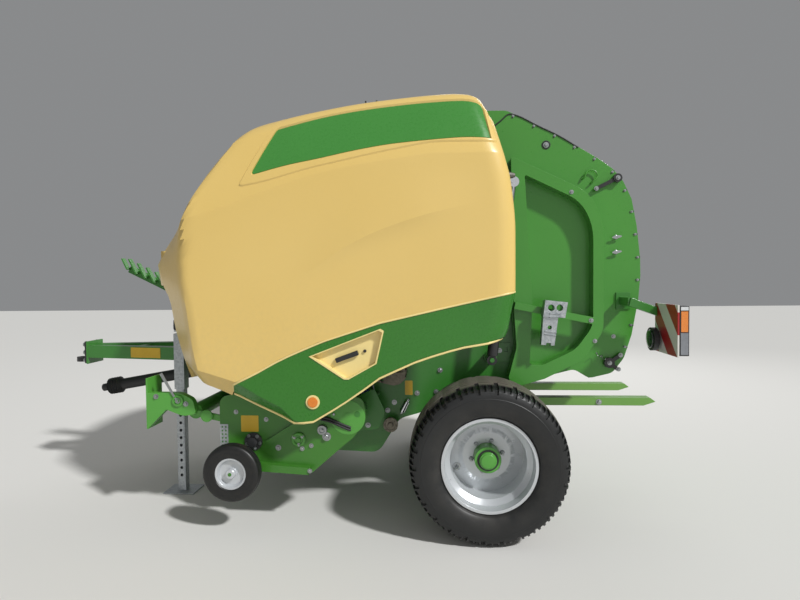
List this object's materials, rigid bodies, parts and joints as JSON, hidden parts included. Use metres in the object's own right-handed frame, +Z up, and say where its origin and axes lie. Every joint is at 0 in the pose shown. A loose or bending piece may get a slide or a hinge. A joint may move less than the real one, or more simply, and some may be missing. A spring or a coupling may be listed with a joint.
{
  "type": "round baler",
  "caption": "Towed round baler: closed side hoods, hinged tailgate with lift cylinders, raised tined pickup, drawbar with parking jack, two road wheels.",
  "frame": {"origin": "on the ground, under the middle of the whole machine", "axes": "+X to the rear, +Y to the machine's right side, +Z up"},
  "size_m": [4.84, 2.62, 2.9023],
  "materials": {
    "green_enamel": "gloss enamel",
    "light_green_enamel": "gloss enamel",
    "cream_shell": "moulded shell, painted",
    "green_shell": "moulded panel, painted",
    "tyre": "moulded rubber",
    "belt_rubber": "woven rubber belt",
    "wheel_silver": "satin silver paint",
    "galvanised": "galvanised steel",
    "dark_steel": "black enamel",
    "shaft_guard": "moulded plastic guard",
    "chrome_rod": "ground chrome",
    "warning_face": "red and white striped board",
    "lamp_housing": "moulded plastic",
    "tine_steel": "spring steel"
  },
  "bodies": {
    "chassis": {"chassis_walls": "green_enamel", "side_pins": "green_enamel", "cross_frame": "green_enamel", "roof": "green_enamel", "front_cover": "cream_shell", "drawbar": "green_enamel", "towing_eye": "dark_steel", "jack_tube": "galvanised", "driveshaft": "shaft_guard", "gearbox": "green_enamel", "hose_holder": "green_enamel", "axle": "light_green_enamel", "bale_ramp": "light_green_enamel", "feed_floor": "green_enamel", "chamber_belts": "belt_rubber", "side_drive": "dark_steel", "drive_shields": "green_enamel"},
    "jack": {"jack_leg": "galvanised"},
    "rotor": {"feed_rotor": "tine_steel"},
    "wheel_left": {"tyre_left": "tyre", "rim_left": "wheel_silver", "hub_left": "light_green_enamel"},
    "wheel_right": {"tyre_right": "tyre", "rim_right": "wheel_silver", "hub_right": "light_green_enamel"},
    "door_left": {"hood_left": "cream_shell", "hood_skirt_left": "green_shell", "hood_band_left": "green_shell", "hood_trim_left": "cream_shell", "hood_handle_left": "shaft_guard"},
    "door_right": {"hood_right": "cream_shell", "hood_skirt_right": "green_shell", "hood_band_right": "green_shell", "hood_trim_right": "cream_shell", "hood_handle_right": "shaft_guard"},
    "tailgate": {"tailgate_plates": "green_enamel", "tailgate_cover": "green_enamel", "tailgate_frames": "green_enamel", "tailgate_rollers": "belt_rubber", "lamp_brackets": "green_enamel", "warning_boards": "warning_face", "tail_lamps": "lamp_housing", "wheel_chocks": "galvanised", "tailgate_latches": "dark_steel"},
    "barrel_left": {"cylinder_left": "dark_steel"},
    "ram_left": {"rod_left": "chrome_rod"},
    "barrel_right": {"cylinder_right": "dark_steel"},
    "ram_right": {"rod_right": "chrome_rod"},
    "pickup": {"pickup_frame": "green_enamel", "pickup_bands": "galvanised", "crop_guard": "light_green_enamel"},
    "reel": {"pickup_reel": "tine_steel"},
    "gauge_left": {"gauge_wheel_left": "tyre", "gauge_rim_left": "wheel_silver"},
    "gauge_right": {"gauge_wheel_right": "tyre", "gauge_rim_right": "wheel_silver"}
  },
  "joints": [
    {"name": "wheel_left_spin", "type": "hinge", "parent": "chassis", "child": "wheel_left", "pos_m": [1.08, -1.06, 0.507], "axis": [0, 1, 0], "continuous": true},
    {"name": "wheel_right_spin", "type": "hinge", "parent": "chassis", "child": "wheel_right", "pos_m": [1.08, 1.06, 0.507], "axis": [0, 1, 0], "continuous": true},
    {"name": "rotor_spin", "type": "hinge", "parent": "chassis", "child": "rotor", "pos_m": [0.12, 0, 0.65], "axis": [0, 1, 0], "continuous": true},
    {"name": "hood_left_open", "type": "hinge", "parent": "chassis", "child": "door_left", "pos_m": [0.605, -0.8, 2.855], "axis": [-1, 0, 0], "range_deg": [0, 60]},
    {"name": "hood_right_open", "type": "hinge", "parent": "chassis", "child": "door_right", "pos_m": [0.605, 0.8, 2.855], "axis": [1, 0, 0], "range_deg": [0, 60]},
    {"name": "tailgate_lift", "type": "hinge", "parent": "chassis", "child": "tailgate", "pos_m": [1.1, 0, 2.795], "axis": [0, -1, 0], "range_deg": [0, 50]},
    {"name": "barrel_left_tilt", "type": "hinge", "parent": "chassis", "child": "barrel_left", "pos_m": [1.14, -0.785, 1.1], "axis": [0, 1, 0], "range_deg": [0, 9.2]},
    {"name": "barrel_right_tilt", "type": "hinge", "parent": "chassis", "child": "barrel_right", "pos_m": [1.14, 0.785, 1.1], "axis": [0, 1, 0], "range_deg": [0, 9.2]},
    {"name": "ram_left_slide", "type": "slide", "parent": "barrel_left", "child": "ram_left", "axis": [0.125, 0, 0.9922], "range_m": [0, 0.372]},
    {"name": "ram_right_slide", "type": "slide", "parent": "barrel_right", "child": "ram_right", "axis": [0.125, 0, 0.9922], "range_m": [0, 0.372]},
    {"name": "pickup_lift", "type": "hinge", "parent": "chassis", "child": "pickup", "pos_m": [0.22, 0, 0.76], "axis": [0, -1, 0], "range_deg": [0, 16]},
    {"name": "reel_spin", "type": "hinge", "parent": "pickup", "child": "reel", "pos_m": [-0.5, 0, 0.575], "axis": [0, 1, 0], "continuous": true},
    {"name": "gauge_left_spin", "type": "hinge", "parent": "pickup", "child": "gauge_left", "pos_m": [-0.586, -1.165, 0.413], "axis": [0, 1, 0], "continuous": true},
    {"name": "gauge_right_spin", "type": "hinge", "parent": "pickup", "child": "gauge_right", "pos_m": [-0.586, 1.165, 0.413], "axis": [0, 1, 0], "continuous": true},
    {"name": "jack_slide", "type": "slide", "parent": "chassis", "child": "jack", "axis": [0, 0, 1], "range_m": [0, 0.33]}
  ],
  "couplings": [
    {"joint": "barrel_left_tilt", "follows": "tailgate_lift", "ratio": 0.1753},
    {"joint": "barrel_right_tilt", "follows": "tailgate_lift", "ratio": 0.1753},
    {"joint": "ram_left_slide", "follows": "tailgate_lift", "m_per_rad": 0.4212},
    {"joint": "ram_right_slide", "follows": "tailgate_lift", "m_per_rad": 0.4212}
  ]
}
